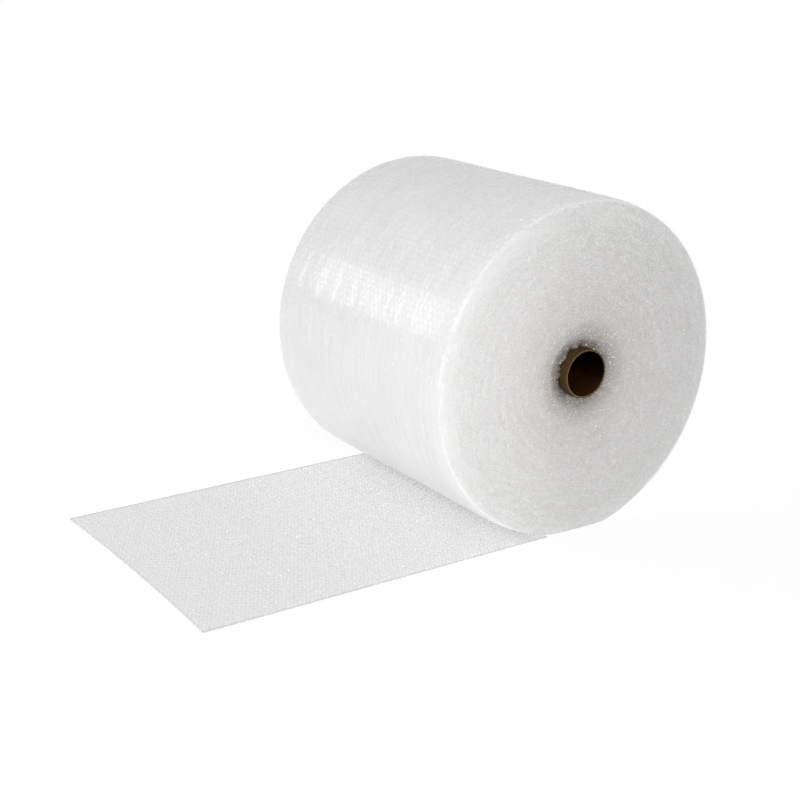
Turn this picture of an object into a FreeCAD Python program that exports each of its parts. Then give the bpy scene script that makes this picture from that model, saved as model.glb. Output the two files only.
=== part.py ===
# Bubble wrap roll: small-bubble film wound on a cardboard core, with its free end run out on the floor.
#
# The roll lies on its side. Y is the roll's axis, X runs along the film with the free end at -X, and Z is up.
# The origin is on the floor, under the middle of the roll's axis. All lengths are in millimetres.
#
# Two pieces make the roll:
#   cardboard_core  the paper tube, a little longer than the film is wide
#   bubble_wrap     the film, one continuous web: the wound turns and the flat tail that leaves them at the floor
#
# Seen from the near end (-Y) the film winds inwards anticlockwise from the place where it leaves the roll at
# the bottom. Every spiral here is drawn with quarter arcs whose centres step round a small square. The
# square's side is a quarter of what the radius loses in one turn, so each arc runs smoothly into the next.
import FreeCAD, Part

import math
import os

import Sketcher

SIZES = {
    "web_width": 500.0,
    "web_thickness": 4.0,
    "film_thickness": 1.0,
    "roll_radius": 286.0,
    "floor_sag": 12.0,
    "tail_length": 692.0,
    "tail_bow": 5.0,
    "bore_diameter": 76.0,
    "core_wall": 3.0,
    "core_overhang": 8.0,
    "core_chamfer": 0.6,
    "core_clearance": 0.1,
    "bubble_diameter": 10.0,
    "bubble_top": 6.0,
    "row_pitch": 10.4,
    "row_margin": 2.0,
    "turns_per_ridge": 4.0,
    "ridge_depth": 2.0,
    "funnel_depth": 9.0,
    "funnel_reach": 34.0,
    "near_shoulder_width": 34.0,
    "near_shoulder_drop": 5.5,
    "near_rim_depth": 6.0,
    "near_rim_reach": 22.0,
    "far_shoulder_width": 12.0,
    "far_shoulder_drop": 1.5,
}
DERIVED = {
    "axis_height": "=roll_radius - floor_sag",
    "core_radius": "=bore_diameter / 2 + core_wall",
    "seat_radius": "=core_radius + core_clearance",
    "core_length": "=web_width + 2 * core_overhang",
    "web_step": "=web_thickness / 4",
    "ridge_pitch": "=turns_per_ridge * web_thickness",
    "ridge_step": "=ridge_pitch / 4",
    "last_row": "=tail_length - tail_bow - row_margin - bubble_diameter / 2",
    "last_radius": "=roll_radius - 3 * web_step",
    "tail_start": "=sqrt(last_radius ^ 2 - (axis_height + web_step / 2 - web_thickness) ^ 2)",
}
# How far a cutting profile stands out past the surface that it cuts.
CUT_MARGIN = 5.0

# Sketcher's numbers for a line's or arc's points, and for the sketch's own origin and horizontal axis.
START_POINT, END_POINT, CENTRE_POINT = 1, 2, 3
ORIGIN, X_AXIS = (-1, 1), -1

doc = FreeCAD.newDocument("BubbleWrapRoll")
sheet = doc.addObject("Spreadsheet::Sheet", "Sizes")


def fill_sheet():
    """Puts each driving size in a cell of its own, then the sizes worked out from them."""
    row = 1
    for name, value in {**SIZES, **DERIVED}.items():
        sheet.set("A%d" % row, name)
        sheet.set("B%d" % row, str(value))
        sheet.setAlias("B%d" % row, name)
        row += 1
    doc.recompute()


def size(name):
    return float(sheet.get(name))


def origin_plane(body, role):
    return next(f for f in body.Origin.OriginFeatures if f.Role == role)


def new_sketch(body, name, role):
    """A sketch on one of the body's own origin planes."""
    sketch = body.newObject("Sketcher::SketchObject", name)
    sketch.AttachmentSupport = [(origin_plane(body, role), "")]
    sketch.MapMode = "FlatFace"
    return sketch


def bind(sketch, kind, *references, to, value):
    """Adds a measured constraint and ties it to the sheet."""
    index = sketch.addConstraint(Sketcher.Constraint(kind, *references, value))
    sketch.setExpression("Constraints[%d]" % index, to)
    return index


def place(sketch, geometry, point, x, y):
    """Ties a point to two expressions, each given with its present value."""
    bind(sketch, "DistanceX", *ORIGIN, geometry, point, to=x[0], value=x[1])
    bind(sketch, "DistanceY", *ORIGIN, geometry, point, to=y[0], value=y[1])


def closed_lines(sketch, points):
    """A closed outline of straight lines through points, joined end to end. Returns the lines' numbers."""
    lines = []
    for a, b in zip(points, points[1:] + points[:1]):
        lines.append(sketch.addGeometry(Part.LineSegment(FreeCAD.Vector(*a, 0), FreeCAD.Vector(*b, 0)), False))
    for a, b in zip(lines, lines[1:] + lines[:1]):
        sketch.addConstraint(Sketcher.Constraint("Coincident", a, END_POINT, b, START_POINT))
    return lines


def arc(centre, radius, start, end):
    circle = Part.Circle(FreeCAD.Vector(*centre, 0), FreeCAD.Vector(0, 0, 1), radius)
    return Part.ArcOfCircle(circle, start, end)


def checked(feature, body, grows):
    """Recomputes, and stops if anything failed or the feature changed the volume the wrong way."""
    before = body.Shape.Volume if body.Shape and not body.Shape.isNull() else 0.0
    doc.recompute()
    for obj in doc.Objects:
        if "Invalid" in obj.State or "Error" in obj.State:
            raise RuntimeError("%s failed: %s" % (obj.Name, obj.State))
    change = body.Shape.Volume - before
    if (change > 0) != grows:
        raise RuntimeError("%s changed the volume by %.1f mm3" % (feature.Name, change))
    return feature


def make_core():
    """The paper tube, turned about the roll's axis, with both rims chamfered."""
    body = doc.addObject("PartDesign::Body", "Core")
    body.Label = "cardboard_core"
    ring = new_sketch(body, "CoreSection", "XZ_Plane")
    axis = (0.0, size("axis_height"))
    radii = (("Sizes.core_radius", size("core_radius")), ("Sizes.bore_diameter / 2", size("bore_diameter") / 2))
    for expression, radius in radii:
        circle = ring.addGeometry(Part.Circle(FreeCAD.Vector(*axis, 0), FreeCAD.Vector(0, 0, 1), radius), False)
        bind(ring, "Radius", circle, to=expression, value=radius)
        place(ring, circle, CENTRE_POINT, ("0", 0.0), ("Sizes.axis_height", axis[1]))
    pad = body.newObject("PartDesign::Pad", "CoreTube")
    pad.Profile = ring
    pad.Midplane = True
    pad.setExpression("Length", "Sizes.core_length")
    checked(pad, body, grows=True)
    rims = [
        "Edge%d" % (i + 1)
        for i, edge in enumerate(body.Shape.Edges)
        if isinstance(edge.Curve, Part.Circle) and len(edge.Vertexes) == 1
    ]
    chamfer = body.newObject("PartDesign::Chamfer", "CoreRims")
    chamfer.Base = (pad, rims)
    chamfer.setExpression("Size", "Sizes.core_chamfer")
    checked(chamfer, body, grows=False)
    return body


def roll_outline(body):
    """The roll's outline from the end: four quarter arcs, and the flat spot on the floor under them."""
    sketch = new_sketch(body, "RollOutline", "XZ_Plane")
    step, height = size("web_step"), size("axis_height")
    corners = [(-1, -1), (1, -1), (1, 1), (-1, 1)]
    centres = [(x * step / 2, height + z * step / 2) for x, z in corners]
    radii = [size("roll_radius") - quarter * step for quarter in range(4)]
    foot = -math.asin(centres[0][1] / radii[0])
    lift = -math.pi + math.asin((centres[3][1] - size("web_thickness")) / radii[3]) + 2 * math.pi
    spans = [(foot, 0.0), (0.0, math.pi / 2), (math.pi / 2, math.pi), (math.pi, lift)]
    arcs = [
        sketch.addGeometry(arc(centre, radius, *span), False)
        for centre, radius, span in zip(centres, radii, spans)
    ]
    for a, b in zip(arcs, arcs[1:]):
        sketch.addConstraint(Sketcher.Constraint("Tangent", a, END_POINT, b, START_POINT))
    bind(sketch, "Radius", arcs[0], to="Sizes.roll_radius", value=radii[0])
    half = ("Sizes.web_step / 2", step / 2)
    place(sketch, arcs[1], CENTRE_POINT, half, ("Sizes.axis_height - " + half[0], centres[1][1]))
    sketch.addConstraint(Sketcher.Constraint("Horizontal", arcs[0], CENTRE_POINT, arcs[1], CENTRE_POINT))
    bind(sketch, "DistanceX", arcs[0], CENTRE_POINT, arcs[1], CENTRE_POINT, to="Sizes.web_step", value=step)
    sketch.addConstraint(Sketcher.Constraint("Vertical", arcs[1], CENTRE_POINT, arcs[2], CENTRE_POINT))
    bind(sketch, "DistanceY", arcs[1], CENTRE_POINT, arcs[2], CENTRE_POINT, to="Sizes.web_step", value=step)
    sketch.addConstraint(Sketcher.Constraint("Horizontal", arcs[2], CENTRE_POINT, arcs[3], CENTRE_POINT))
    bind(sketch, "DistanceX", arcs[3], CENTRE_POINT, arcs[2], CENTRE_POINT, to="Sizes.web_step", value=step)

    left = centres[3][0] + radii[3] * math.cos(lift)
    right = centres[0][0] + radii[0] * math.cos(foot)
    points = [(left, size("web_thickness")), (left, 0.0), (right, 0.0)]
    edge = sketch.addGeometry(
        Part.LineSegment(FreeCAD.Vector(*points[0], 0), FreeCAD.Vector(*points[1], 0)), False
    )
    floor = sketch.addGeometry(
        Part.LineSegment(FreeCAD.Vector(*points[1], 0), FreeCAD.Vector(*points[2], 0)), False
    )
    sketch.addConstraint(Sketcher.Constraint("Coincident", arcs[3], END_POINT, edge, START_POINT))
    sketch.addConstraint(Sketcher.Constraint("Coincident", edge, END_POINT, floor, START_POINT))
    sketch.addConstraint(Sketcher.Constraint("Coincident", floor, END_POINT, arcs[0], START_POINT))
    sketch.addConstraint(Sketcher.Constraint("Vertical", edge))
    sketch.addConstraint(Sketcher.Constraint("Horizontal", floor))
    sketch.addConstraint(Sketcher.Constraint("PointOnObject", floor, START_POINT, X_AXIS))
    bind(
        sketch, "DistanceY", *ORIGIN, edge, START_POINT, to="Sizes.web_thickness", value=size("web_thickness")
    )
    return sketch


def ridge_sketch(body, name, side):
    """The saw-tooth that cuts the turns' ridges into the near end, on the level plane at one side of the axis.

    side is 1 on the right and -1 on the left. Half a turn lies between the two, so the teeth on the left
    stand half a pitch nearer to the axis. Two upright construction lines are the axes of the two quarters
    that meet in this plane.
    """
    sketch = new_sketch(body, name, "XY_Plane")
    level = "Sizes.axis_height %s Sizes.ridge_step / 2" % ("-" if side > 0 else "+")
    sketch.setExpression(".AttachmentOffset.Base.z", level)
    pitch, depth, half_width = size("ridge_pitch"), size("ridge_depth"), size("web_width") / 2
    shift = 0 if side > 0 else 1
    ridges = math.ceil((size("roll_radius") - size("core_radius")) / pitch) + 2

    def tooth_point(index, y, y_expression):
        """A corner of the saw-tooth: even numbers are crests and odd ones valleys, counted from the core."""
        x = side * (size("core_radius") + (index - 2 - shift) * pitch / 2)
        expression = "%d * (Sizes.core_radius + %d * Sizes.ridge_pitch / 2)" % (side, index - 2 - shift)
        return (x, y), (expression, y_expression)

    crest = (-half_width, "-Sizes.web_width / 2")
    valley = (-half_width + depth, "-Sizes.web_width / 2 + Sizes.ridge_depth")
    outside = (-half_width - CUT_MARGIN, "-Sizes.web_width / 2 - %g" % CUT_MARGIN)
    last = 2 * ridges
    corners = [tooth_point(i, *(valley if i % 2 else crest)) for i in range(last + 1)]
    corners += [tooth_point(last, *outside), tooth_point(0, *outside)]
    lines = closed_lines(sketch, [point for point, _ in corners])
    for line, (point, expressions) in zip(lines, corners):
        place(sketch, line, START_POINT, (expressions[0], point[0]), (expressions[1], point[1]))
    for sign in (-1, 1):
        x = sign * size("ridge_step") / 2
        axis = sketch.addGeometry(
            Part.LineSegment(FreeCAD.Vector(x, -half_width, 0), FreeCAD.Vector(x, half_width, 0)), True
        )
        across = ("%d * Sizes.ridge_step / 2" % sign, x)
        place(sketch, axis, START_POINT, across, ("-Sizes.web_width / 2", -half_width))
        place(sketch, axis, END_POINT, across, ("Sizes.web_width / 2", half_width))
    return sketch


def cut_ridges(body):
    """Cuts the near end's spiral ridges, a quarter turn at a time, each quarter about its own centre."""
    right = ridge_sketch(body, "RidgesRight", 1)
    left = ridge_sketch(body, "RidgesLeft", -1)
    quarters = [
        ("RidgesBottomRight", right, "Axis0", False),
        ("RidgesTopRight", right, "Axis1", True),
        ("RidgesTopLeft", left, "Axis1", False),
        ("RidgesBottomLeft", left, "Axis0", True),
    ]
    grooves = []
    for name, sketch, axis, reverse in quarters:
        groove = body.newObject("PartDesign::Groove", name)
        groove.Profile = sketch
        groove.ReferenceAxis = (sketch, [axis])
        groove.Angle = 90.0
        groove.Reversed = reverse
        grooves.append(checked(groove, body, grows=False))
    return grooves


def cut_funnel(body):
    """The turns draw back round the core: a shallow ridged funnel, turned into the near end."""
    sketch = new_sketch(body, "FunnelSection", "XY_Plane")
    sketch.setExpression(".AttachmentOffset.Base.z", "Sizes.axis_height")
    seat, reach, deep = size("seat_radius"), size("funnel_reach"), size("funnel_depth")
    half_width, ridge = size("web_width") / 2, size("ridge_depth")
    rings = 4

    def ring_point(index):
        """Even numbers stand on the funnel's slope, and odd ones are valleys between them."""
        x = (seat + reach * index / rings, "Sizes.seat_radius + Sizes.funnel_reach * %d / %d" % (index, rings))
        share = "%d / %d" % (rings - index, rings)
        down = deep * (rings - index) / rings + (ridge if index % 2 else 0.0)
        down_expression = "-Sizes.web_width / 2 + Sizes.funnel_depth * " + share
        if index % 2:
            down_expression += " + Sizes.ridge_depth"
        return x, (down_expression, -half_width + down)

    rows = []
    for index in range(rings + 1):
        (x, x_expression), (y_expression, y) = ring_point(index)
        rows.append(((x, y), (x_expression, y_expression)))
    outside = (-half_width - CUT_MARGIN, "-Sizes.web_width / 2 - %g" % CUT_MARGIN)
    rim, bore = rows[-1], rows[0]
    inner_x = (bore[0][0] - CUT_MARGIN, bore[1][0] + " - %g" % CUT_MARGIN)
    rows.append(((rim[0][0], outside[0]), (rim[1][0], outside[1])))
    rows.append(((inner_x[0], outside[0]), (inner_x[1], outside[1])))
    rows.append(((inner_x[0], bore[0][1]), (inner_x[1], bore[1][1])))
    lines = closed_lines(sketch, [point for point, _ in rows])
    for line, (point, expressions) in zip(lines, rows):
        place(sketch, line, START_POINT, (expressions[0], point[0]), (expressions[1], point[1]))
    groove = body.newObject("PartDesign::Groove", "Funnel")
    groove.Profile = sketch
    groove.ReferenceAxis = (sketch, ["V_Axis"])
    groove.Angle = 360.0
    return checked(groove, body, grows=False)


def cut_shoulder(body, end, side):
    """The outermost turns sag at the roll's ends: a long soft taper round one edge.

    side is -1 at the near end, where the loose rim draws in with a second taper, and 1 at the far end.
    """
    sketch = new_sketch(body, end + "ShoulderSection", "XY_Plane")
    sketch.setExpression(".AttachmentOffset.Base.z", "Sizes.axis_height")
    drop, width = end.lower() + "_shoulder_drop", end.lower() + "_shoulder_width"

    def out(amount, text):
        """A distance from the roll's axis."""
        return size("roll_radius") + amount, "Sizes.roll_radius + " + text

    def along(amount, text):
        """A distance along the axis, towards this end."""
        return side * (size("web_width") / 2 + amount), "%d * (Sizes.web_width / 2 + %s)" % (side, text)

    clear = "%g" % CUT_MARGIN
    x_rim, y_rim = out(-size(drop), "0 - Sizes." + drop), along(0.0, "0")
    x_top, y_top = out(0.0, "0"), along(-size(width), "0 - Sizes." + width)
    x_out, y_out = out(CUT_MARGIN, clear), along(CUT_MARGIN, clear)
    x_face, tapers = x_rim, [(x_rim, y_rim), (x_top, y_top)]
    if side < 0:
        x_face = out(-size("near_rim_reach"), "0 - Sizes.near_rim_reach")
        y_inner = along(-size("near_rim_depth"), "0 - Sizes.near_rim_depth")
        tapers = [(x_face, y_rim), (x_rim, y_inner), (x_top, y_top)]
    corners = tapers + [(x_out, y_top), (x_out, y_out), (x_face, y_out)]
    lines = closed_lines(sketch, [(x[0], y[0]) for x, y in corners])
    for line, (x, y) in zip(lines, corners):
        place(sketch, line, START_POINT, (x[1], x[0]), (y[1], y[0]))
    groove = body.newObject("PartDesign::Groove", end + "Shoulder")
    groove.Profile = sketch
    groove.ReferenceAxis = (sketch, ["V_Axis"])
    groove.Angle = 360.0
    return checked(groove, body, grows=False)


def cut_seat(body):
    """The hole that the core fills."""
    sketch = new_sketch(body, "SeatSection", "XZ_Plane")
    height, radius = size("axis_height"), size("seat_radius")
    circle = sketch.addGeometry(
        Part.Circle(FreeCAD.Vector(0, height, 0), FreeCAD.Vector(0, 0, 1), radius), False
    )
    bind(sketch, "Radius", circle, to="Sizes.seat_radius", value=radius)
    place(sketch, circle, CENTRE_POINT, ("0", 0.0), ("Sizes.axis_height", height))
    pocket = body.newObject("PartDesign::Pocket", "CoreSeat")
    pocket.Profile = sketch
    pocket.Type = "ThroughAll"
    pocket.Midplane = True
    return checked(pocket, body, grows=False)


def add_tail(body):
    """The film's free end, flat on the floor, with its end edge bowed a little inwards."""
    sketch = new_sketch(body, "TailOutline", "XY_Plane")
    half_width, length, bow = size("web_width") / 2, size("tail_length"), size("tail_bow")
    near, far = (-length, -half_width), (-length, half_width)
    bow_radius = (half_width ** 2 + bow ** 2) / (2 * bow)
    swing = math.asin(half_width / bow_radius)
    points = [(0.0, -half_width), near, far, (0.0, half_width)]
    sides = [
        sketch.addGeometry(Part.LineSegment(FreeCAD.Vector(*a, 0), FreeCAD.Vector(*b, 0)), False)
        for a, b in ((points[0], points[1]), (points[2], points[3]), (points[3], points[0]))
    ]
    edge = sketch.addGeometry(arc((-length + bow - bow_radius, 0.0), bow_radius, -swing, swing), False)
    sketch.addConstraint(Sketcher.Constraint("Coincident", sides[0], END_POINT, edge, START_POINT))
    sketch.addConstraint(Sketcher.Constraint("Coincident", edge, END_POINT, sides[1], START_POINT))
    sketch.addConstraint(Sketcher.Constraint("Coincident", sides[1], END_POINT, sides[2], START_POINT))
    sketch.addConstraint(Sketcher.Constraint("Coincident", sides[2], END_POINT, sides[0], START_POINT))
    left, low = ("-Sizes.tail_length", -length), ("-Sizes.web_width / 2", -half_width)
    high = ("Sizes.web_width / 2", half_width)
    place(sketch, sides[0], START_POINT, ("0", 0.0), low)
    place(sketch, sides[0], END_POINT, left, low)
    place(sketch, sides[1], START_POINT, left, high)
    place(sketch, sides[1], END_POINT, ("0", 0.0), high)
    bow_expression = "((Sizes.web_width / 2) ^ 2 + Sizes.tail_bow ^ 2) / (2 * Sizes.tail_bow)"
    bind(sketch, "Radius", edge, to=bow_expression, value=bow_radius)
    pad = body.newObject("PartDesign::Pad", "TailFilm")
    pad.Profile = sketch
    pad.setExpression("Length", "Sizes.film_thickness")
    return checked(pad, body, grows=True)


def add_bubble_rows(body):
    """The tail's bubbles, each row across the film drawn as one flat-topped ridge with sloping sides."""
    sketch = new_sketch(body, "RowSection", "XZ_Plane")
    at, film, tall = size("last_row"), size("film_thickness"), size("web_thickness")
    foot = (size("bubble_diameter") / 2, "Sizes.bubble_diameter / 2")
    top = (size("bubble_top") / 2, "Sizes.bubble_top / 2")

    def row_point(sign, half, z, z_expression):
        return (-at + sign * half[0], z), ("-Sizes.last_row + %d * %s" % (sign, half[1]), z_expression)

    corners = [
        row_point(-1, foot, 0.0, "0"),
        row_point(1, foot, 0.0, "0"),
        row_point(1, foot, film, "Sizes.film_thickness"),
        row_point(1, top, tall, "Sizes.web_thickness"),
        row_point(-1, top, tall, "Sizes.web_thickness"),
        row_point(-1, foot, film, "Sizes.film_thickness"),
    ]
    lines = closed_lines(sketch, [point for point, _ in corners])
    for line, (point, expressions) in zip(lines, corners):
        place(sketch, line, START_POINT, (expressions[0], point[0]), (expressions[1], point[1]))
    pad = body.newObject("PartDesign::Pad", "BubbleRow")
    pad.Profile = sketch
    pad.Midplane = True
    pad.setExpression("Length", "Sizes.web_width")
    checked(pad, body, grows=True)
    pattern = body.newObject("PartDesign::LinearPattern", "BubbleRows")
    pattern.Originals = [pad]
    pattern.Direction = (sketch, ["H_Axis"])
    pattern.Mode = "Spacing"
    pattern.setExpression("Offset", "Sizes.row_pitch")
    pattern.setExpression("Occurrences", "floor((Sizes.last_row - Sizes.tail_start) / Sizes.row_pitch) + 2")
    body.Tip = pattern
    return checked(pattern, body, grows=True)


def make_web():
    """The bubble film: the wound turns as one solid, and the tail that leaves them at the floor."""
    body = doc.addObject("PartDesign::Body", "Web")
    body.Label = "bubble_wrap"
    roll = body.newObject("PartDesign::Pad", "Turns")
    roll.Profile = roll_outline(body)
    roll.Midplane = True
    roll.setExpression("Length", "Sizes.web_width")
    checked(roll, body, grows=True)
    cut_seat(body)
    cut_shoulder(body, "Near", -1)
    cut_shoulder(body, "Far", 1)
    cuts = [cut_funnel(body)] + cut_ridges(body)
    mirror = body.newObject("PartDesign::Mirrored", "FarEnd")
    mirror.Originals = cuts
    mirror.MirrorPlane = (origin_plane(body, "XZ_Plane"), [""])
    body.Tip = mirror
    checked(mirror, body, grows=False)
    add_tail(body)
    add_bubble_rows(body)
    return body


def check_document(bodies):
    """Stops if any object failed or any piece isn't one valid solid."""
    for obj in doc.Objects:
        if "Invalid" in obj.State or "Error" in obj.State:
            raise RuntimeError("%s failed: %s" % (obj.Name, obj.State))
        shape = getattr(obj, "Shape", None)
        if shape is not None and obj.TypeId.startswith("PartDesign"):
            if shape.isNull() or not shape.isValid():
                raise RuntimeError("%s has no valid shape" % obj.Name)
    for body in bodies:
        if len(body.Shape.Solids) != 1:
            raise RuntimeError("%s has %d solids" % (body.Label, len(body.Shape.Solids)))


fill_sheet()
pieces = [make_core(), make_web()]
doc.recompute()
check_document(pieces)
os.makedirs("parts", exist_ok=True)
for piece in pieces:
    piece.Shape.exportStep("parts/%s.step" % piece.Label)
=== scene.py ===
"""Bubble wrap roll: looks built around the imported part. Metres, +Z up, the roll's axis along Y.

Seen from the near end (-Y) the film leaves the roll at the bottom towards -X. The film on the tail lies
with its bubbles up, so on the roll its bubbles point inwards and the smooth side is outside.
"""
import math

import bmesh
import bpy
import numpy as np
from mathutils import Matrix, Vector


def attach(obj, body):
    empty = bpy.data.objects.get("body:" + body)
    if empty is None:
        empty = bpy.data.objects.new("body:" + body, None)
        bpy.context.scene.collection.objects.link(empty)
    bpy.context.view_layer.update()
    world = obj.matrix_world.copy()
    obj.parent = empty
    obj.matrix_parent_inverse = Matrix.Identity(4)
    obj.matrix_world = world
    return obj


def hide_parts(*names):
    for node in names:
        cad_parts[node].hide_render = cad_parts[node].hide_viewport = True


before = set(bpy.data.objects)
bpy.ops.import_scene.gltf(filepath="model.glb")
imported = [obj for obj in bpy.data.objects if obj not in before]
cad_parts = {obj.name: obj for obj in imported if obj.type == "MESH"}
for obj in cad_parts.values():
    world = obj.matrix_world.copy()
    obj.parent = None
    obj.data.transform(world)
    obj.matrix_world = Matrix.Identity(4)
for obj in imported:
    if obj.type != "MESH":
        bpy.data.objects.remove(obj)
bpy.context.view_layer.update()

# Sizes of the part, as its own source has them.
HALF_WIDTH = 0.250
WEB = 0.004
FILM = 0.0010
RADIUS = 0.286
AXLE = 0.274
TAIL_LENGTH = 0.692
TAIL_BOW = 0.005
CORE_OUTER = 0.041
CORE_INNER = 0.038
CORE_HALF = 0.258
BUBBLE = 0.005
PITCH = 0.012
ROW = 0.0104
STEP = WEB / 4
RIDGE = 4 * WEB
FUNNEL_DEPTH = 0.009
FUNNEL_REACH = 0.034
NEAR_SAG, NEAR_SAG_WIDTH = 0.0055, 0.034
FAR_SAG, FAR_SAG_WIDTH = 0.0015, 0.012

# Bubbles: the tail's outermost row is FIRST_ROW out from the axle, and its rows lie a little off the middle.
# ROWS_ROUND rows go round the roll, where the pitch is rounded to a whole number of bubbles in the width.
FIRST_ROW = 0.680
COLUMN_SHIFT = 0.002
ROWS_ROUND = 171.5
ROLL_PITCH = 2 * HALF_WIDTH / round(2 * HALF_WIDTH / PITCH)
BUBBLE_RISE = 0.0029

# The tail's first stretch is out of sight under the roll, which is pressed flat below FLAT_START.
HIDDEN_TAIL = 0.06
FLAT_START = 0.006

# The roll's mesh: the skin lies SKIN_INSET inside the outline, which leaves room for its relief. Each end,
# of which -1 is the near one, draws back towards its rim, and it has every second spoke only near the core.
SKIN_INSET = 0.0012
SEAT_RADIUS = CORE_OUTER + 0.0001
RIM_DEPTH_AND_REACH = {-1: (0.0085, 0.026), 1: (0.003, 0.010)}
WIDE_SPOKES_WITHIN = 0.150

# Looks: painted light and shade that change with the height are set over LOOK_HEIGHT. The core's paper winds
# on by
# PAPER_LEAD in a turn, and its rim has a raw edge with a lip. SKIN and END are the roll's two materials.
WHITE = (1.0, 1.0, 1.0)
LOOK_HEIGHT = 0.56
PAPER_LEAD = 0.11
RIM_EDGE = 0.0012
LIP = 0.0015
SKIN, END = 0, 1


def smooth(a, b, x):
    """0 at a, 1 at b, and a soft change between them."""
    t = np.clip((x - a) / (b - a), 0.0, 1.0)
    return t * t * (3.0 - 2.0 * t)


def ripple(turns):
    """0 at whole turns and 1 half-way between them."""
    return 0.5 - 0.5 * np.cos(2 * math.pi * turns)


def waves(u, v, seed, octaves=4):
    """Soft noise in about -1..1 over a plane: a seeded sum of sine waves in random directions."""
    rng = np.random.default_rng(seed)
    total = np.zeros(np.broadcast(u, v).shape)
    weight = 0.0
    directions = 5
    for octave in range(octaves):
        amount = 0.6 ** octave
        for _ in range(directions):
            angle = rng.uniform(0, 2 * math.pi)
            k = 1.9 ** octave * rng.uniform(0.7, 1.3)
            phase = rng.uniform(0, 2 * math.pi)
            total += amount * np.sin(k * (u * math.cos(angle) + v * math.sin(angle)) + phase)
        weight += amount * math.sqrt(directions)
    return total / weight


def fill(node, values):
    """Puts numbers, colours and other nodes' outputs into a node's inputs."""
    for slot, value in values.items():
        socket = node.inputs[slot]
        if isinstance(value, bpy.types.NodeSocket):
            node.id_data.links.new(value, socket)
        elif socket.type == "RGBA":
            socket.default_value = (*value, 1.0)
        else:
            socket.default_value = value


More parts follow.
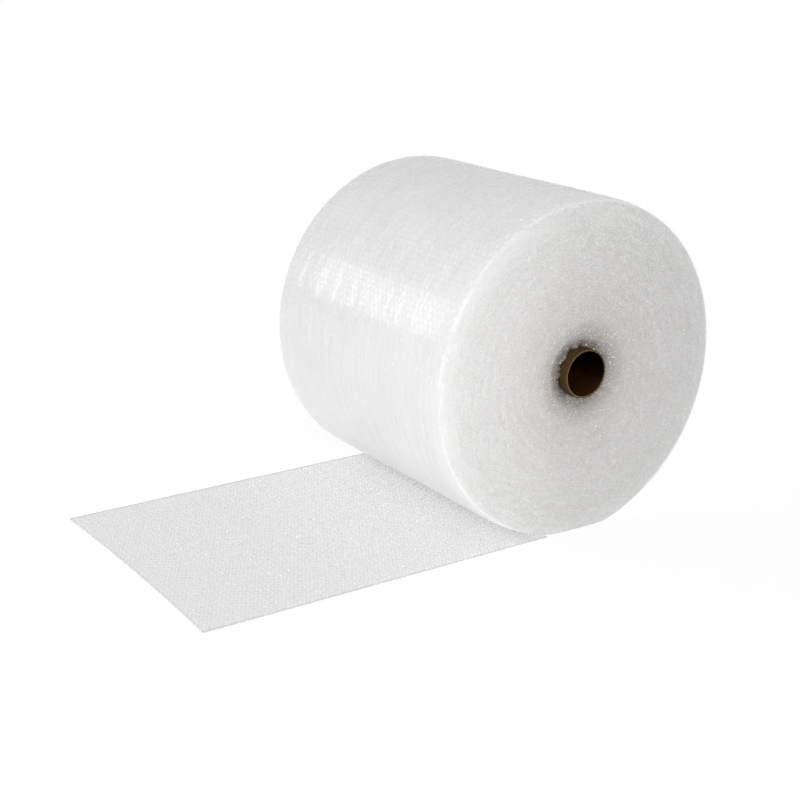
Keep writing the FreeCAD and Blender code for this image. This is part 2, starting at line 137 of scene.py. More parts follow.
class Look:
    """A material's nodes, with a short call for each kind that repeats."""

    def __init__(self, name):
        self.material = bpy.data.materials.new(name)
        self.material.use_nodes = True
        self.nodes = self.material.node_tree.nodes
        self.shader = self.nodes["Principled BSDF"]
        self.place = self.nodes.new("ShaderNodeTexCoord").outputs["Object"]
        self.x, self.y, self.z = self.axes(self.place)

    def add(self, kind, inputs, **settings):
        node = self.nodes.new(kind)
        for name, value in settings.items():
            setattr(node, name, value)
        fill(node, inputs)
        return node

    def axes(self, vector):
        return tuple(self.add("ShaderNodeSeparateXYZ", {0: vector}).outputs)

    def math(self, operation, *values):
        return self.add("ShaderNodeMath", dict(enumerate(values)), operation=operation).outputs[0]

    def distance(self, a, b):
        return self.math("SQRT", self.math("ADD", self.math("MULTIPLY", a, a), self.math("MULTIPLY", b, b)))

    def span(self, value, start, end, low, high, **settings):
        """low as far as start, high from end on, and an even change between them."""
        inputs = {"Value": value, "From Min": start, "From Max": end, "To Min": low, "To Max": high}
        return self.add("ShaderNodeMapRange", inputs, **settings).outputs["Result"]

    def ramp(self, value, stops):
        """A colour, or a grey where a stop has one number, at each stop, and even changes between them."""
        node = self.add("ShaderNodeValToRGB", {"Fac": value})
        elements = node.color_ramp.elements
        elements.remove(elements[-1])
        for index, (at, colour) in enumerate(stops):
            element = elements[0] if index == 0 else elements.new(at)
            element.position = at
            element.color = (*colour, 1.0) if isinstance(colour, tuple) else (colour, colour, colour, 1.0)
        return node.outputs["Color"]

    def blend(self, share, colour, other, blend_type="MIX"):
        """A share of the other colour over the first."""
        inputs = {0: share, 6: colour, 7: other}
        return self.add("ShaderNodeMix", inputs, data_type="RGBA", blend_type=blend_type).outputs[2]

    def shaded(self, colour, *shades):
        """The colour multiplied by each shade."""
        for shade in shades:
            colour = self.blend(1.0, colour, shade, "MULTIPLY")
        return colour

    def noise(self, place, scale, detail, roughness):
        inputs = {"Vector": place, "Scale": scale, "Detail": detail, "Roughness": roughness}
        return self.add("ShaderNodeTexNoise", inputs).outputs["Fac"]

    def drift(self, low, high, scale, offset):
        """A colour that drifts softly between two pale greys."""
        inputs = {"Vector": self.place, "Location": (offset, 0.7 * offset, 0.3 * offset)}
        moved = self.add("ShaderNodeMapping", inputs).outputs["Vector"]
        return self.ramp(self.noise(moved, scale, 5.0, 0.6), [(0.3, low), (0.7, high)])

    def painted_flecks(self, scale, share, reach=0.45):
        """Small bright points, each somewhere in a cell of its own: painted glints where folds of film catch
        the light.
        """
        cells = self.add("ShaderNodeTexVoronoi", {"Vector": self.place, "Scale": scale})
        luck = self.add("ShaderNodeSeparateColor", {0: cells.outputs["Color"]}).outputs[0]
        close = self.span(cells.outputs["Distance"], reach, reach / 3, 0.0, 1.0)
        return self.math("MULTIPLY", self.math("GREATER_THAN", luck, 1.0 - share), close)

    def from_below(self):
        """How much of a turn lies between the roll's underside and a point: 0 to 1."""
        rise = self.math("SUBTRACT", self.z, AXLE)
        angle = self.math("ARCTAN2", self.math("MULTIPLY", self.x, -1.0), rise)
        return self.math("MULTIPLY_ADD", angle, 1 / (2 * math.pi), 0.5)

    def bands(self, fine, long):
        """Soft bands that run round the roll: narrow along its axis, long round it."""
        across, around = self.math("MULTIPLY", self.y, fine), self.math("MULTIPLY", self.from_below(), long)
        stretched = self.add("ShaderNodeCombineXYZ", {"X": across, "Y": around}).outputs[0]
        return self.noise(stretched, 1.0, 4.0, 0.6)

    def bubbles(self):
        """1 in the middle of each bubble under the roll's outer film, falling to 0 at its edge."""
        row = self.math("MULTIPLY", self.from_below(), ROWS_ROUND)
        column = self.math("MULTIPLY_ADD", self.y, 1 / ROLL_PITCH, HALF_WIDTH / ROLL_PITCH + 4)

        def off_centre(cell, shift, width):
            share = self.math("FRACT", self.math("ADD", cell, 0.5 + shift))
            return self.math("MULTIPLY", self.math("SUBTRACT", share, 0.5), width)

        # Even rows, and the odd ones that are half a pitch aside.
        gaps = [self.distance(off_centre(self.math("MULTIPLY", row, 0.5), shift, 2 * ROW),
                              off_centre(column, shift, ROLL_PITCH)) for shift in (0.0, 0.5)]
        nearest = self.math("MINIMUM", *gaps)
        return self.span(nearest, 0.0052, 0.0012, 0.0, 1.0, interpolation_type="SMOOTHSTEP")

    def see_into(self, weight):
        """Light goes some way into the wound film before it comes out again."""
        fill(self.shader, {"Subsurface Weight": weight, "Subsurface Radius": (1.0, 0.95, 0.9),
                           "Subsurface Scale": 0.03})

    def bump(self, height, strength, distance):
        inputs = {"Height": height, "Strength": strength, "Distance": distance}
        fill(self.shader, {"Normal": self.add("ShaderNodeBump", inputs).outputs["Normal"]})


def tail_material(name, alpha, low, high, crown_light, lines):
    """Clear film over a pale floor: it greys what lies behind it, with painted shade in the crevice, painted
    light beside it and painted glints on its creases.
    """
    look = Look(name)
    colour = look.drift(low, high, 60.0, 3.0)
    # Painted shade and light: the film's colour is darkened in the crevice as a contact shadow, and made
    # palest just outside it to stand in for light that the roll blocks.
    painted_crevice_shade_and_light = look.ramp(look.math("MULTIPLY", look.x, -2.0),
                          [(0.20, 0.72), (0.25, 1.22), (0.40, 1.30), (0.9, 1.04)])
    colour = look.shaded(colour, painted_crevice_shade_and_light)

    # A narrow hem along the three cut edges is denser and duller.
    bow = look.math("MULTIPLY", look.math("MULTIPLY", look.y, look.y), TAIL_BOW / HALF_WIDTH ** 2)
    inwards = look.math("ADD", look.math("ADD", look.x, TAIL_LENGTH - TAIL_BOW), bow)
    sideways = look.math("SUBTRACT", HALF_WIDTH, look.math("ABSOLUTE", look.y))
    hem = look.span(look.math("MINIMUM", inwards, sideways), 0.0025, 0.0045, 1.0, 0.0)
    dulled = {0: colour, "Scale": look.math("MULTIPLY_ADD", hem, -0.4, 1.0)}
    colour = look.add("ShaderNodeVectorMath", dulled, operation="SCALE").outputs["Vector"]

    # Painted glints: white points on creases and, on the domes, painted highlights on the crowns, which also
    # make the film denser there.
    points = look.math("MAXIMUM", look.painted_flecks(300.0, 0.13, 0.65), look.painted_flecks(180.0, 0.16, 0.55))
    up = look.axes(look.add("ShaderNodeNewGeometry", {}).outputs["Normal"])[2]
    light = look.math("MAXIMUM", points, look.span(up, 0.86, 0.99, 0.0, crown_light))

    # Painted highlight and shade: along the lines aslant to the film in which the bubbles stand behind one
    # another, stripes make the film thinner and denser in turn, so they show as bright and dark.
    painted_stripe = look.math("SUBTRACT", look.math("MULTIPLY_ADD", look.x, 1.5 / ROW, 1.5 * FIRST_ROW / ROW),
                     look.math("MULTIPLY_ADD", look.y, 1 / PITCH, COLUMN_SHIFT / PITCH))
    painted_stripe = look.math("COSINE", look.math("MULTIPLY", painted_stripe, 2 * math.pi))
    dense = look.math("MULTIPLY_ADD", hem, 2.2 * lines, alpha)
    dense = look.math("MULTIPLY_ADD", painted_stripe, -lines, dense)

    fill(look.shader, {"Base Color": look.blend(light, colour, WHITE), "Roughness": 0.22,
                       "Specular IOR Level": 0.7, "Coat Weight": 0.4, "Coat Roughness": 0.08,
                       "Alpha": look.math("MULTIPLY_ADD", light, 0.6, dense)})
    look.bump(look.noise(look.place, 420.0, 3.0, 0.6), 0.20, 0.002)
    return look.material


def skin_material():
    """The roll's outside: smooth film with rows of bubbles showing faintly under it."""
    look = Look("bubble_film_roll")
    # The bubbles are faint near the floor and clear towards the top.
    clear = look.span(look.z, 0.26, 0.46, 0.25, 1.15)
    dots = look.math("MULTIPLY_ADD", look.math("SUBTRACT", look.bubbles(), 0.5), clear, 0.5)
    wide, narrow, hairs = look.bands(60.0, 3.0), look.bands(210.0, 5.0), look.bands(420.0, 40.0)
    outward = look.math("MULTIPLY", look.math("ABSOLUTE", look.y), 1 / HALF_WIDTH)
    height = look.math("MULTIPLY", look.z, 1 / LOOK_HEIGHT)
    # Painted light and shade: the colour is lighter near the floor and a little at the top, and a trace
    # darker towards the two ends.
    colour = look.shaded(
        look.drift((0.705, 0.71, 0.71), (0.755, 0.757, 0.757), 9.0, 1.0),
        look.ramp(dots, [(0.0, 0.965), (0.6, 1.0), (1.0, 1.06)]),
        look.ramp(wide, [(0.32, 0.98), (0.5, 1.0), (0.7, 1.012)]),
        look.ramp(outward, [(0.84, 1.0), (1.0, (0.99, 0.987, 0.984))]),
        look.ramp(height, [(0.0, 1.22), (0.19, 1.13), (0.43, 1.0), (0.62, 0.99), (0.85, 1.04)]))
    # Painted glints: pale points in the base colour.
    points = look.math("MULTIPLY", look.painted_flecks(260.0, 0.10), 0.8)

    # The sheen is a clear coat that comes and goes in streaks round the roll and over each bubble.
    streaks = look.ramp(look.bands(85.0, 9.0), [(0.41, 0.10), (0.50, 0.5), (0.60, 1.0)])
    hair = look.ramp(hairs, [(0.38, 0.25), (0.58, 0.65)])
    coat = look.math("MULTIPLY", streaks, look.math("MULTIPLY_ADD", dots, 0.7, hair))
    coat = look.math("MULTIPLY", coat, look.span(look.z, 0.09, 0.24, 0.1, 1.0))
    fill(look.shader, {"Base Color": look.blend(points, colour, (0.97, 0.97, 0.97)), "Roughness": 0.36,
                       "Specular IOR Level": 0.15, "Coat Weight": coat, "Coat Roughness": 0.14,
                       "Coat IOR": 1.9})
    look.see_into(0.45)

    relief = look.math("MULTIPLY", dots, 0.85)
    creases = look.noise(look.place, 330.0, 3.0, 0.65)
    for source, share in ((creases, 0.8), (narrow, 0.2), (hairs, 0.05), (wide, 0.5)):
        relief = look.math("MULTIPLY_ADD", source, share, relief)
    look.bump(look.math("MULTIPLY", relief, clear), 0.7, 0.0012)
    return look.material


def end_material():
    """The turns' edges: cut bubbles packed side by side, with the dark core showing through next to it and
    painted shade round it.
    """
    look = Look("bubble_film_end")
    # Near the core the colour is dark: partly the core's brown seen through the film, partly painted shade
    # in the recess round it.
    out = look.distance(look.math("SUBTRACT", look.z, AXLE), look.x)
    ragged = look.math("MULTIPLY_ADD", look.noise(look.place, 90.0, 4.0, 0.65), 0.03, out)
    tint_and_shade_radius = 0.3
    core_tint_and_painted_shade = look.ramp(look.math("MULTIPLY", ragged, 1 / tint_and_shade_radius), [
        (0.17, (0.10, 0.07, 0.045)), (0.20, (0.24, 0.205, 0.18)), (0.25, (0.44, 0.405, 0.385)),
        (0.36, (0.67, 0.645, 0.635)), (0.6, (0.76, 0.745, 0.74)), (0.88, (0.80, 0.79, 0.785)),
        (1.0, (0.86, 0.855, 0.85))])
    grains = look.noise(look.place, 560.0, 2.0, 0.6)
    colour = look.shaded(core_tint_and_painted_shade, look.ramp(grains, [(0.33, 0.84), (0.5, 0.98), (0.66, 1.06)]))
    # Painted light: the colour is paler near the rim.
    ring = look.span(out, RADIUS - 0.055, RADIUS - 0.004, 0.0, 0.75, interpolation_type="SMOOTHSTEP")
    colour = look.blend(ring, colour, (0.82, 0.815, 0.81))
    # Painted light and shade: the end is darker low down and a little at its top, and lighter at its left,
    # towards the lamps, than at its right.
    height = look.math("MULTIPLY", look.z, 1 / LOOK_HEIGHT)
    sideways = look.math("MULTIPLY_ADD", look.x, 0.5 / RADIUS, 0.5)
    colour = look.shaded(
        colour,
        look.ramp(height, [(0.0, 0.92), (0.16, 0.96), (0.48, 1.0), (0.78, 0.96)]),
        look.ramp(sideways, [(0.0, 1.26), (0.25, 1.18), (0.5, 1.06), (0.8, 0.99), (1.0, 0.93)]))

    # Painted glints lie all over the end, and more of them near its top, where more light falls.
    upper = look.span(look.z, 0.33, 0.50, 0.0, 1.0)
    glints = [look.math("MULTIPLY", look.painted_flecks(scale, share), weight)
              for scale, share, weight in ((350.0, 0.26, 0.9), (230.0, 0.07, 1.0), (245.0, 0.58, upper))]
    glint = look.math("MAXIMUM", look.math("MAXIMUM", glints[0], glints[1]), glints[2])
    fill(look.shader, {"Base Color": look.blend(glint, colour, WHITE), "Roughness": 0.25,
                       "Specular IOR Level": 0.8, "Coat Weight": 0.7, "Coat Roughness": 0.09})
    look.see_into(look.math("MULTIPLY_ADD", glint, -0.38, 0.4))
    look.bump(grains, 1.0, 0.004)
    return look.material


def cardboard_material():
    """Brown wound paper: a spiral seam, fine fibres, pale raw edges on the rims with a painted highlight at
    the left, and painted shade inside.
    """
    look = Look("core_cardboard")
    rise = look.math("SUBTRACT", look.z, AXLE)
    out = look.distance(rise, look.x)
    angle = look.math("ARCTAN2", rise, look.x)
    along = look.math("MULTIPLY_ADD", angle, PAPER_LEAD / (2 * math.pi), look.y)
    turn = look.math("FRACT", look.math("MULTIPLY", along, 1 / PAPER_LEAD))
    seam = look.ramp(turn, [(0.0, 0.45), (0.02, 1.0), (0.98, 1.0), (1.0, 0.45)])
    stretched = look.add("ShaderNodeMapping", {"Vector": look.place, "Scale": (1.0, 0.25, 1.0)})
    fibres = look.noise(stretched.outputs["Vector"], 240.0, 6.0, 0.7)
    browns = [(0.3, (0.048, 0.026, 0.007)), (0.7, (0.084, 0.048, 0.014))]
    paper = look.shaded(look.ramp(fibres, browns), seam)

    # The rims are raw, with a pale lip round the bore that shows most at the left as a painted highlight.
    lip = look.ramp(look.math("MULTIPLY_ADD", out, 1 / LIP, -CORE_INNER / LIP),
                    [(0.35, (0.62, 0.50, 0.33)), (0.6, (0.08, 0.05, 0.02))])
    painted_left_highlight = look.math("MULTIPLY_ADD", look.x, -0.5 / CORE_OUTER, 0.5)
    raw = look.blend(painted_left_highlight, (0.055, 0.034, 0.014), lip)
    rim = look.span(look.math("ABSOLUTE", look.y), CORE_HALF - RIM_EDGE, CORE_HALF, 0.0, 1.0)
    paper = look.blend(rim, paper, raw)

    # Painted shade in the bore: its wall is dark and darkest at its top, and paler low down as painted
    # light.
    outside = look.span(out, CORE_INNER + 0.00014, CORE_INNER + 0.00054, 0.0, 1.0)
    bore = look.ramp(look.math("MULTIPLY_ADD", rise, 0.5 / CORE_INNER, 0.5),
                     [(0.0, (0.66, 0.56, 0.40)), (0.35, (0.16, 0.12, 0.07)), (0.7, (0.04, 0.026, 0.015))])
    fill(look.shader, {"Base Color": look.shaded(paper, look.blend(outside, bore, WHITE)), "Roughness": 0.75,
                       "Specular IOR Level": look.math("MULTIPLY", outside, 0.15)})
    look.bump(fibres, 0.3, 0.001)
    return look.material


FILM_LOOK = tail_material("bubble_film_tail", 0.37, (0.45, 0.452, 0.445), (0.52, 0.522, 0.515), 0.0, 0.030)
DOME_LOOK = tail_material("bubble_film_domes", 0.045, (0.48, 0.483, 0.475), (0.58, 0.583, 0.575), 0.14, 0.0)
SKIN_LOOK, END_LOOK, CORE_LOOK = skin_material(), end_material(), cardboard_material()


def film_piece(name, points, faces, material):
    """A piece of the film, which takes the place of the CAD node."""
    mesh = bpy.data.meshes.new(name)
    mesh.from_pydata([tuple(map(float, p)) for p in points], [], [tuple(map(int, f)) for f in faces])
    mesh.materials.append(material)
    mesh.polygons.foreach_set("use_smooth", [True] * len(mesh.polygons))
    mesh.update()
    piece = bpy.data.objects.new(name, mesh)
    bpy.context.scene.collection.objects.link(piece)
    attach(piece, "root")
    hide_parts("bubble_wrap")
    return piece


def grid_faces(rows, columns, closed=False, flip=False):
    """Quads between rows of points. closed joins each row's last point to its first."""
    r = np.arange(rows - 1)[:, None]
    c = np.arange(columns if closed else columns - 1)[None, :]
    d = (c + 1) % columns
    a, b = r * columns + c, r * columns + d
    e, f = (r + 1) * columns + d, (r + 1) * columns + c
    quads = np.stack([a, b, e, f], -1).reshape(-1, 4)
    return quads[:, ::-1] if flip else quads


# The roll's outline: four quarter arcs whose centres step round a small square, so the film's last turn
# ends one web thickness above the floor, where the tail leaves it. Under the roll it is flat on the floor.
CENTRES = [(-STEP / 2, -STEP / 2), (STEP / 2, -STEP / 2), (STEP / 2, STEP / 2), (-STEP / 2, STEP / 2)]


def outline_radius(angle):
    """Distance from the roll's axis to the outline at an angle from +X, anticlockwise from the near end."""
    from_bottom = (angle + math.pi / 2) % (2 * math.pi)
    quarter = np.minimum((from_bottom / (math.pi / 2)).astype(int), 3)
    centre = np.array(CENTRES)[quarter]
    arc = RADIUS - quarter * STEP
    along = centre[..., 0] * np.cos(angle) + centre[..., 1] * np.sin(angle)
    across = centre[..., 0] * np.sin(angle) - centre[..., 1] * np.cos(angle)
    return along + np.sqrt(arc ** 2 - across ** 2)


def turned(angle):
    """How much of a turn lies between the bottom of the roll, where the film leaves it, and an angle."""
    return ((angle + math.pi / 2) % (2 * math.pi)) / (2 * math.pi)


def pressed_flat(z):
    """Nothing of the roll goes below the floor: its underside is flattened there, with a soft start."""
    curved = FLAT_START * (np.clip(z, -0.02, FLAT_START) / FLAT_START) ** 2
    low = 0.5 * curved + 0.5 * np.clip(z, 0, FLAT_START)
    return np.where(z < FLAT_START, np.maximum(0.0, low), z)


def tail_end(y):
    """The tail's cut end bows in at mid-width."""
    return -TAIL_LENGTH + TAIL_BOW * (1.0 - (y / HALF_WIDTH) ** 2)


def crevice_x():
    """Where the tail's top meets the roll's underside."""
    arc = RADIUS - 3 * STEP
    return -STEP / 2 - math.sqrt(arc ** 2 - (AXLE + STEP / 2 - WEB) ** 2)


def tail_lift(x, y):
    """The tail lies nearly flat: a few broad, low swells that end before the roll."""
    return 0.0003 * (waves(x * 30.0, y * 30.0, 11, octaves=3) + 1.0) * smooth(-0.09, -0.2, x)


def tail_film_piece():
    """The tail's film, with its three cut edges down to the floor. The fourth is hidden under the roll."""
    across, along = 64, 80
    y = np.repeat(np.linspace(-HALF_WIDTH, HALF_WIDTH, across)[None, :], along, 0)
    start = tail_end(y)
    x = start + (-HIDDEN_TAIL - start) * np.linspace(0.0, 1.0, along)[:, None]
    top = np.stack([x, y, FILM + tail_lift(x, y)], -1).reshape(-1, 3)
    cut = [k * across for k in range(along - 1, 0, -1)] + list(range(across))
    cut += [k * across + across - 1 for k in range(1, along)]
    foot = top[cut] * (1.0, 1.0, 0.0)
    n = np.arange(len(cut) - 1)
    edge = np.stack([np.array(cut)[:-1], np.array(cut)[1:], len(top) + n + 1, len(top) + n], -1)
    faces = np.vstack([grid_faces(along, across, flip=True), edge])
    return film_piece("tail_film", np.vstack([top, foot]), faces, FILM_LOOK)


def bubble_centres():
    """Rows across the tail, every second row half a pitch aside, from its cut end to the roll."""
    side_gap, end_gap, reach_under = 0.0045, 0.0008, 0.004
    columns = int(HALF_WIDTH / PITCH) + 1
    centres = []
    for row in range(int((TAIL_LENGTH - 0.07) / ROW)):
        x = row * ROW - FIRST_ROW
        aside = PITCH / 2 if row % 2 else 0.0
        for column in range(-columns, columns + 1):
            y = column * PITCH + aside - COLUMN_SHIFT
            if abs(y) <= HALF_WIDTH - side_gap and x - BUBBLE >= tail_end(y) + end_gap:
                centres.append((x, y))
    centres = np.array(centres)
    return centres[centres[:, 0] < crevice_x() + reach_under]


def tail_bubbles_piece():
    """One dome for each bubble: rings of points and a crown, each a little uneven."""
    sides = 10
    profile = [(1.0, -0.15), (0.88, 0.60), (0.55, 0.96)]
    ring = np.arange(sides) * 2 * math.pi / sides
    centres = bubble_centres()
    n = len(centres)
    rng = np.random.default_rng(21)
    height = BUBBLE_RISE * np.clip(rng.normal(1.0, 0.06, n), 0.65, 1.06)
    lean = rng.normal(0.0, 0.00035, (n, 2))
    base = FILM + tail_lift(centres[:, 0], centres[:, 1])
    points = []
    for reach, rise in profile:
        spread = BUBBLE * 0.97 * reach * (1.0 + rng.normal(0.0, 0.03, (n, sides)))
        x = centres[:, :1] + spread * np.cos(ring) + lean[:, :1] * rise
        y = centres[:, 1:] + spread * np.sin(ring) + lean[:, 1:] * rise
        z = np.repeat((base + height * rise)[:, None], sides, 1)
        if rise > 0.5:
            z = z + rng.normal(0.0, 0.00012, (n, sides))
        points.append(np.stack([x, y, z], -1))
    crown = np.column_stack([centres + lean, base + height])
    block = np.concatenate(points + [crown[:, None, :]], 1)
    per_bubble = block.shape[1]
    last_ring = (len(profile) - 1) * sides
    k = np.arange(sides)
    cap = np.stack([last_ring + k, last_ring + (k + 1) % sides, np.full(sides, per_bubble - 1)], -1)
    offsets = np.arange(n)[:, None, None] * per_bubble
    quads = (grid_faces(len(profile), sides, closed=True)[None] + offsets).reshape(-1, 4)
    triangles = (cap[None] + offsets).reshape(-1, 3)
    return film_piece("tail_bubbles", block.reshape(-1, 3), list(quads) + list(triangles), DOME_LOOK)


def edge_sag(y):
    """How far the outer turns sag towards the roll's two ends."""
    near, far = y + HALF_WIDTH, HALF_WIDTH - y
    near_sag = NEAR_SAG * np.clip(1 - near / NEAR_SAG_WIDTH, 0, 1) ** 2
    return near_sag + FAR_SAG * np.clip(1 - far / FAR_SAG_WIDTH, 0, 1) ** 2


def loose(angle):
    """How loose the film lies: 0.3 low down, where the roll's weight presses it, and 1 high up."""
    return 0.3 + 0.7 * smooth(-0.15, 0.55, np.sin(angle))


def side_radius(angle, y):
    """The outermost turn's radius, with the soft bands that run round the roll where turns overlap."""
    bands = 0.0002 * waves(y * 170.0, angle * 0.5, 31, octaves=3)
    bands = bands * (0.7 + 0.3 * waves(y * 9.0, angle * 2.0, 33, octaves=2)) * loose(angle)
    slack = np.minimum(0.0009 * waves(y * 14.0, angle * 1.6, 32, octaves=2), 0.0006)
    return outline_radius(angle) - edge_sag(y) - SKIN_INSET + bands + slack


def end_depth(angle, radius, side, grain):
    """How far the turns' edges stand back from the roll's end plane. side is -1 at the near end."""
    from_core = radius - CORE_OUTER
    depth = 0.0006 + 0.0008 * ripple((from_core - RIDGE / 4) / RIDGE + turned(angle))
    depth = depth + 0.0009 * ripple((radius - RADIUS) / WEB + turned(angle))
    x, z = radius * np.cos(angle), radius * np.sin(angle)
    depth = depth + 0.0007 * waves(x * 26, z * 26, 53 if side < 0 else 54) + 0.00045 * grain
    if side < 0:
        depth = depth + FUNNEL_DEPTH * (1 - smooth(0.0, FUNNEL_REACH, from_core)) ** 1.3
    torn = waves(9.0 * np.cos(angle), 9.0 * np.sin(angle) + 3.0 * side, 61)
    depth = depth + 0.0065 * torn * (1 - smooth(0.0005, 0.0085, from_core))
    rim_depth, rim_reach = RIM_DEPTH_AND_REACH[side]
    off_floor = 1.0 - 0.92 * smooth(-0.80, -0.985, np.sin(angle))
    depth = depth + rim_depth * off_floor * np.clip(1 - (RADIUS - radius) / rim_reach, 0, 1) ** 2
    return np.maximum(depth, 0.0002)


class Shell:
    """Blocks of points and faces that are welded to one closed form at the end."""

    def __init__(self):
        self.points, self.faces, self.looks = [], [], []

    def put(self, angle, radius, y):
        """Adds points round the roll's axis and returns the number of the first."""
        first = sum(len(block) for block in self.points)
        z = pressed_flat(AXLE + radius * np.sin(angle))
        self.points.append(np.stack([radius * np.cos(angle), y, z], -1).reshape(-1, 3))
        return first

    def join(self, faces, look):
        self.faces.append(faces)
        self.looks.append(np.full(len(faces), look, np.int32))

    def piece(self, name, looks):
        # A corner that a face names twice is named once, which leaves a triangle.
        faces = [tuple(dict.fromkeys(face)) for face in np.vstack(self.faces).tolist()]
        piece = film_piece(name, np.vstack(self.points), faces, looks[0])
        for look in looks[1:]:
            piece.data.materials.append(look)
        piece.data.polygons.foreach_set("material_index", np.concatenate(self.looks))
        welded = bmesh.new()
        welded.from_mesh(piece.data)
        bmesh.ops.remove_doubles(welded, verts=welded.verts, dist=2e-5)
        bmesh.ops.dissolve_degenerate(welded, edges=welded.edges, dist=1e-6)
        bmesh.ops.recalc_face_normals(welded, faces=welded.faces)
        welded.to_mesh(piece.data)
        welded.free()
        return piece


def add_skin(shell, angle, rng):
    """The outside: bubbles in rows along the axis, every second row half a pitch aside.

    Returns the radius of each side's rim, by side.
    """
    spokes, columns = len(angle), int(round(2 * HALF_WIDTH / ROLL_PITCH)) * 2 + 1
    a, y = np.meshgrid(angle, np.linspace(-HALF_WIDTH, HALF_WIDTH, columns), indexing="ij")
    row, column = np.arange(spokes)[:, None], np.arange(columns)[None, :]
    centre = (row % 2 == 0) & ((column + row // 2) % 2 == 0)
    dot = np.where(centre, 0.00032, -0.00012) * (1 + 0.6 * rng.normal(size=centre.shape).clip(-2, 2))
    radius = side_radius(a, y) + dot * loose(a)
    inset = np.zeros_like(y)
    inset[:, 0] = end_depth(angle, radius[:, 0], -1, 0.0)
    inset[:, -1] = -end_depth(angle, radius[:, -1], 1, 0.0)
    first = shell.put(a, radius, y + inset)
    shell.join(grid_faces(spokes, columns) + first, SKIN)
    return {-1: radius[:, 0], 1: radius[:, -1]}


def add_end(shell, angle, rim, side, rng):
    """One end. Level by level the mesh follows the turns' spiral, two levels to a turn."""
    spokes, half = len(angle), WEB / 2
    levels = int((RADIUS - CORE_OUTER) / half) + 4
    level = np.arange(levels + 1)[:, None]
    radius = np.minimum(RADIUS - (levels - level) * half - WEB * turned(angle)[None, :], rim[None, :])
    radius[-1] = rim
    radius = np.maximum(radius, SEAT_RADIUS)
    a = np.repeat(angle[None, :], levels + 1, 0)
    # Random grain, but none at the core and the rim, and the same on both sides of the spiral's seam.
    grain = rng.normal(size=a.shape).clip(-2, 2)
    grain[(radius <= CORE_OUTER + 0.0002) | (radius >= rim[None, :] - 0.0004)] = 0.0
    grain[2:, -1] = grain[:-2, 0]
    first = shell.put(a, radius, side * (HALF_WIDTH - end_depth(a, radius, side, grain)))

    def quads(k, spoke, step):
        """Quads from a level to the next one and from a spoke to the one that is step further."""
        near, far = first + spoke, first + np.minimum(spoke + step, spokes - 1)
        corners = [k * spokes + near, k * spokes + far, (k + 1) * spokes + far, (k + 1) * spokes + near]
        return np.stack(corners, -1).reshape(-1, 4)

    # Every spoke counts in the outer levels, and every second one nearer the core. Fans lie between them.
    fine_from = levels - int((RADIUS - WIDE_SPOKES_WITHIN) / half)
    every, second = np.arange(spokes - 1)[None, :], np.arange(0, spokes - 1, 2)[None, :]
    fine = quads(np.arange(fine_from, levels)[:, None], every, 1)
    wide = quads(np.arange(fine_from - 1)[:, None], second, 2)
    a, b, c, d = quads(np.array([[fine_from - 1]]), second, 2).T
    fans = np.stack([np.stack([a, b, c, d + 1], -1), np.stack([a, d + 1, d, d], -1)], 1).reshape(-1, 4)
    for faces in (np.concatenate([fine, wide]), fans):
        shell.join(faces[:, ::-1] if side > 0 else faces, END)


def add_seat(shell, angle):
    """The seat, out of sight against the core, closes the form."""
    radius = np.full(len(angle), SEAT_RADIUS)
    y = np.stack([side * (HALF_WIDTH - end_depth(angle, radius, side, 0.0)) for side in (-1, 1)])
    first = shell.put(np.stack([angle, angle]), np.stack([radius, radius]), y)
    shell.join(grid_faces(2, len(angle), closed=True) + first, END)


def roll_piece():
    """The wound turns as one closed form: the outside with its bubbles, and both ends' spirals."""
    spokes, seam = 344, 1e-6
    angle = -math.pi / 2 + seam + (2 * math.pi - 2 * seam) * np.arange(spokes) / (spokes - 1)
    rng = np.random.default_rng(41)
    shell = Shell()
    rims = add_skin(shell, angle, rng)
    for side in (-1, 1):
        add_end(shell, angle, rims[side], side, rng)
    add_seat(shell, angle[::2])
    return shell.piece("roll_turns", [SKIN_LOOK, END_LOOK])


film = tail_film_piece()
domes = tail_bubbles_piece()
roll = roll_piece()
# The free end is the last of the film: it lies flat on the floor and runs up on to the roll.
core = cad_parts["cardboard_core"]
core.data.materials.clear()
core.data.materials.append(CORE_LOOK)


def make_stage():
    """A plain pale floor just under the part."""
    mesh = bpy.data.meshes.new("floor")
    size, gap = 30.0, 0.0005
    corners = [(-size, -size, 0), (size, -size, 0), (size, size, 0), (-size, size, 0)]
    mesh.from_pydata(corners, [], [(0, 1, 2, 3)])
    material = bpy.data.materials.new("studio_floor")
    material.use_nodes = True
    fill(material.node_tree.nodes["Principled BSDF"],
         {"Base Color": (0.3, 0.3, 0.3), "Roughness": 0.9, "Specular IOR Level": 0.1,
          "Emission Color": WHITE, "Emission Strength": 0.74})
    mesh.materials.append(material)
    floor = bpy.data.objects.new("floor", mesh)
    bpy.context.scene.collection.objects.link(floor)
    floor.location.z = -gap


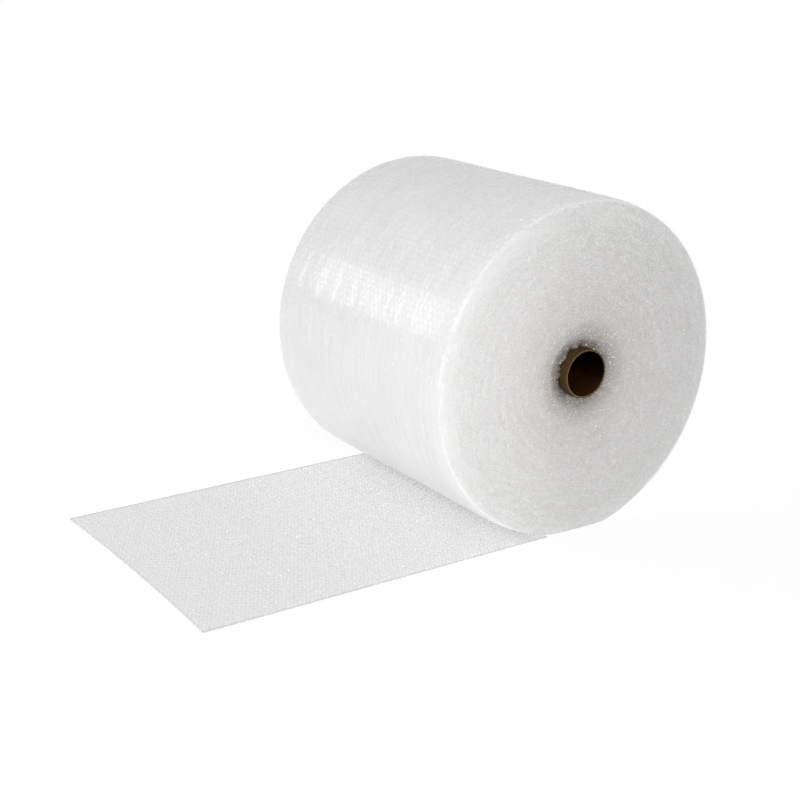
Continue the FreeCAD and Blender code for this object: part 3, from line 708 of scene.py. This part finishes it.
def area_lamp(name, place, target, size, power, spread=180):
    lamp = bpy.data.lights.new(name, "AREA")
    lamp.shape = "RECTANGLE"
    lamp.size, lamp.size_y = size
    lamp.energy = power
    lamp.spread = math.radians(spread)
    shown = bpy.data.objects.new(name, lamp)
    shown.location = place
    shown.rotation_euler = (Vector(target) - Vector(place)).to_track_quat("-Z", "Y").to_euler()
    bpy.context.scene.collection.objects.link(shown)


def make_lights():
    """A bright room, a long box for the sheen, and three fills."""
    world = bpy.data.worlds.new("studio")
    bpy.context.scene.world = world
    world.use_nodes = True
    fill(world.node_tree.nodes["Background"], {"Color": WHITE, "Strength": 0.80})
    area_lamp("low_fill", (-1.9, -0.9, 0.30), (-0.25, 0.0, 0.12), (0.9, 0.4), 5.0)
    area_lamp("sheen_box", (-1.78, 2.05, 1.06), (-0.25, 2.05, 0.36), (1.4, 0.95), 7.6)
    area_lamp("near_fill", (-1.35, -1.75, 1.2), (-0.29, -0.25, 0.29), (0.3, 0.3), 0.14, spread=29)
    area_lamp("end_fill", (-1.3, -2.3, 1.3), (-0.12, -0.25, 0.36), (0.7, 0.7), 0.45, spread=30)


def make_camera():
    """The photograph's own view, from a camera that was fitted to it."""
    place = (-1.5385, -2.0165, 0.9917)
    yaw, pitch, roll_angle = math.radians(33.812), math.radians(18.237), math.radians(0.326)
    data = bpy.data.cameras.new("camera")
    data.lens = 67.69
    data.sensor_width = 36.0
    camera = bpy.data.objects.new("camera", data)
    forward = Vector((math.sin(yaw) * math.cos(pitch), math.cos(yaw) * math.cos(pitch), -math.sin(pitch)))
    right = Vector((math.cos(yaw), -math.sin(yaw), 0.0))
    up = right.cross(forward)
    rolled_right = math.cos(roll_angle) * right + math.sin(roll_angle) * up
    rolled_up = -math.sin(roll_angle) * right + math.cos(roll_angle) * up
    turn = Matrix((rolled_right, rolled_up, -forward)).transposed()
    camera.matrix_world = Matrix.Translation(place) @ turn.to_4x4()
    bpy.context.scene.collection.objects.link(camera)
    bpy.context.scene.camera = camera


make_stage()
make_lights()
make_camera()
bpy.context.scene.view_settings.view_transform = "Standard"
